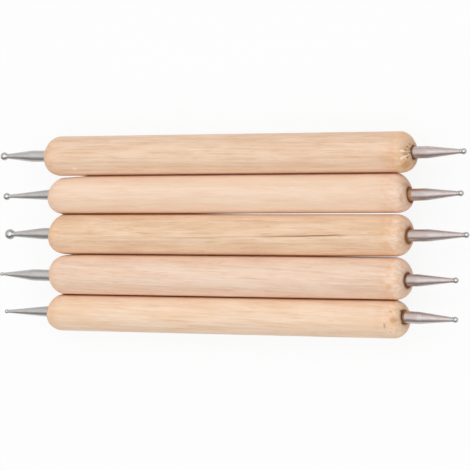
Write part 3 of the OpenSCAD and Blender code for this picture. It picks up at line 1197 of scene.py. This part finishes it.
class STYLUS_OT_fibres(bpy.types.Operator):
    """Build the fibres torn up round the mouths of two bores"""
    bl_idname = "stylus.fibres"
    bl_label = "Torn fibres"

    def execute(self, context):
        settings = context.scene.stylus_fibres
        material = torn_finish(settings)
        for handle in handles:
            for k, fibre in enumerate(FIBRES.get(handle.number, [])):
                rings = self.rings(handle, fibre, settings.lift)
                name = f"{handle.body}_right_fibre_{k + 1}"
                new_piece(name, rings, handle.matrix, handle.body, material, sharp=80)
        return {"FINISHED"}

    def rings(self, handle, fibre, lift):
        """Cross-sections of a fibre that widens as it runs back from the bore, its foot in the wood."""
        first, last, near, far, half_wide, height = fibre
        bore = handle.bores[RIGHT]
        steps = 12
        line = []
        for k in range(steps + 1):
            share = k / steps
            angle = math.radians(first + (last - first) * share)
            off = bore.bore_r + (near + (far - near) * share) * MM
            y = bore.origin.y + math.sin(angle) * off
            z = bore.origin.z + math.cos(angle) * off
            line.append(Vector((handle.end_x(RIGHT, y, z), y, z)))
        rings = [[line[0]]]
        for k in range(1, steps):
            share = k / steps
            out = handle.outward(RIGHT, line[k])
            side = out.cross(line[k + 1] - line[k - 1]).normalized()
            wide = half_wide * MM * (0.15 + 0.85 * smooth_step(0, 0.65, share))
            wide *= 1 - smooth_step(0.85, 1.1, share)
            up = lift * height * math.sin(math.pi * (0.12 + 0.8 * (1 - share)))
            rings.append([line[k] + side * wide * across + out * up * rise for across, rise in FIBRE_PROFILE])
        rings.append([line[-1]])
        return rings


class STYLUS_OT_stage(bpy.types.Operator):
    """Build the floor, the lamps, the world and the camera"""
    bl_idname = "stylus.stage"
    bl_label = "Stage"

    def execute(self, context):
        settings = context.scene.stylus_stage
        scene = context.scene
        scene.view_settings.view_transform = "Standard"
        self.floor(scene, settings)
        self.world(scene, settings)
        self.lamp(scene, "rear_softbox", *REAR_LAMP, settings.key)
        self.lamp(scene, "front_softbox", *FRONT_LAMP, settings.fill)
        self.camera(scene, settings)
        return {"FINISHED"}

    def floor(self, scene, settings):
        """A pale floor that rays from the camera, and mirrored or passed ones, see as nearly white."""
        outward = ((-1, -1), (1, -1), (1, 1), (-1, 1))
        corners = [(x * FLOOR_HALF, y * FLOOR_HALF, -0.05 * MM) for x, y in outward]
        mesh = bpy.data.meshes.new("floor")
        mesh.from_pydata(corners, [], [(0, 1, 2, 3)])
        floor = bpy.data.objects.new("floor", mesh)
        scene.collection.objects.link(floor)
        finish = Finish("floor")
        shown, glossy = finish.rays()
        share = shown * settings.floor_show + glossy * settings.floor_mirrored
        paper = finish.add("BsdfDiffuse", inputs={"Color": settings.floor_color})
        white = finish.add("Emission", inputs={"Color": WHITE, "Strength": 1.0})
        finish.output(finish.add("MixShader", inputs={0: share, 1: paper, 2: white}))
        mesh.materials.append(finish.material)

    def world(self, scene, settings):
        """A light tent that darkens towards the floor, mostly in front, behind the white background."""
        world = bpy.data.worlds.new("studio")
        scene.world = world
        world.use_nodes = True
        finish = Finish("studio", world.node_tree)
        shown, glossy = finish.rays()
        x, y, z = finish.parts("Generated")
        low = 1 - z.between(0.2, 0.5)
        front = (0 - y).between(-0.2, 0.6)
        shade = low * (0.5 + front * 0.42)
        cut = (0 - y).between(0.1, 0.35) * (1 - z.between(0.62, 0.86)) * 0.7
        rear = (1 - z.between(0.0, 0.75)) * y.between(0, 0.3) * 0.34
        softbox = (x * math.sin(settings.tilt) + z * math.cos(settings.tilt) + y * 0.12).between(0.72, 0.86)
        matte = (1 - shade) * settings.sky
        level = matte + glossy * ((1 - cut - rear) * settings.mirrored + softbox * settings.glare - matte)
        tent = finish.add("Background", inputs={"Color": WHITE, "Strength": level})
        backdrop = finish.add("Background", inputs={"Color": WHITE, "Strength": 1.0})
        finish.output(finish.add("MixShader", inputs={0: shown, 1: tent, 2: backdrop}), "OutputWorld")

    def lamp(self, scene, name, place, size, power):
        light = bpy.data.lights.new(name, "AREA")
        light.shape = "RECTANGLE"
        light.size, light.size_y = size
        light.energy = power
        lamp = bpy.data.objects.new(name, light)
        scene.collection.objects.link(lamp)
        lamp.location = place
        lamp.rotation_euler = (-Vector(place)).to_track_quat("-Z", "Y").to_euler()
        lamp.visible_glossy = False

    def camera(self, scene, settings):
        data = bpy.data.cameras.new("camera")
        data.lens = settings.lens
        data.sensor_width = 36
        data.clip_start, data.clip_end = 0.01, 20
        camera = bpy.data.objects.new("camera", data)
        scene.collection.objects.link(camera)
        target = Vector((settings.look_x, settings.look_y, settings.look_z))
        back = Vector((math.sin(settings.tilt), 0, math.cos(settings.tilt)))
        camera.location = target + back * settings.distance
        camera.rotation_euler = (0, settings.tilt, 0)
        scene.camera = camera


class STYLUS_PT_panel(bpy.types.Panel):
    """Lists the steps that build the styluses"""
    bl_label = "Styluses"
    bl_idname = "STYLUS_PT_panel"
    bl_space_type = "VIEW_3D"
    bl_region_type = "UI"
    bl_category = "Styluses"

    def draw(self, context):
        for operator in OPERATORS:
            self.layout.operator(operator.bl_idname)
        for name in SETTINGS:
            group = getattr(context.scene, name)
            box = self.layout.box()
            for prop in group.bl_rna.properties:
                if not prop.is_readonly and prop.identifier != "name":
                    box.prop(group, prop.identifier)


OPERATORS = (
    STYLUS_OT_handles, STYLUS_OT_shanks, STYLUS_OT_balls, STYLUS_OT_adhesive, STYLUS_OT_fibres, STYLUS_OT_stage
)
SETTINGS = {
    "stylus_handles": HandleSettings,
    "stylus_fibres": FibreSettings,
    "stylus_steel": SteelSettings,
    "stylus_adhesive": AdhesiveSettings,
    "stylus_stage": StageSettings,
}
CLASSES = (StainAndShade, MouthLook, Spot, WoodLook, *SETTINGS.values(), *OPERATORS, STYLUS_PT_panel)


def register():
    for one in CLASSES:
        bpy.utils.register_class(one)
    for name, group in SETTINGS.items():
        setattr(bpy.types.Scene, name, PointerProperty(type=group))
    bpy.types.Scene.stylus_woods = CollectionProperty(type=WoodLook)


def unregister():
    del bpy.types.Scene.stylus_woods
    for name in SETTINGS:
        delattr(bpy.types.Scene, name)
    for one in reversed(CLASSES):
        bpy.utils.unregister_class(one)


def main():
    register()
    for values in WOODS:
        fill_in(bpy.context.scene.stylus_woods.add(), values)
    bpy.ops.stylus.handles()
    bpy.ops.stylus.shanks()
    bpy.ops.stylus.balls()
    bpy.ops.stylus.adhesive()
    bpy.ops.stylus.fibres()
    bpy.ops.stylus.stage()


if __name__ == "__main__":
    main()
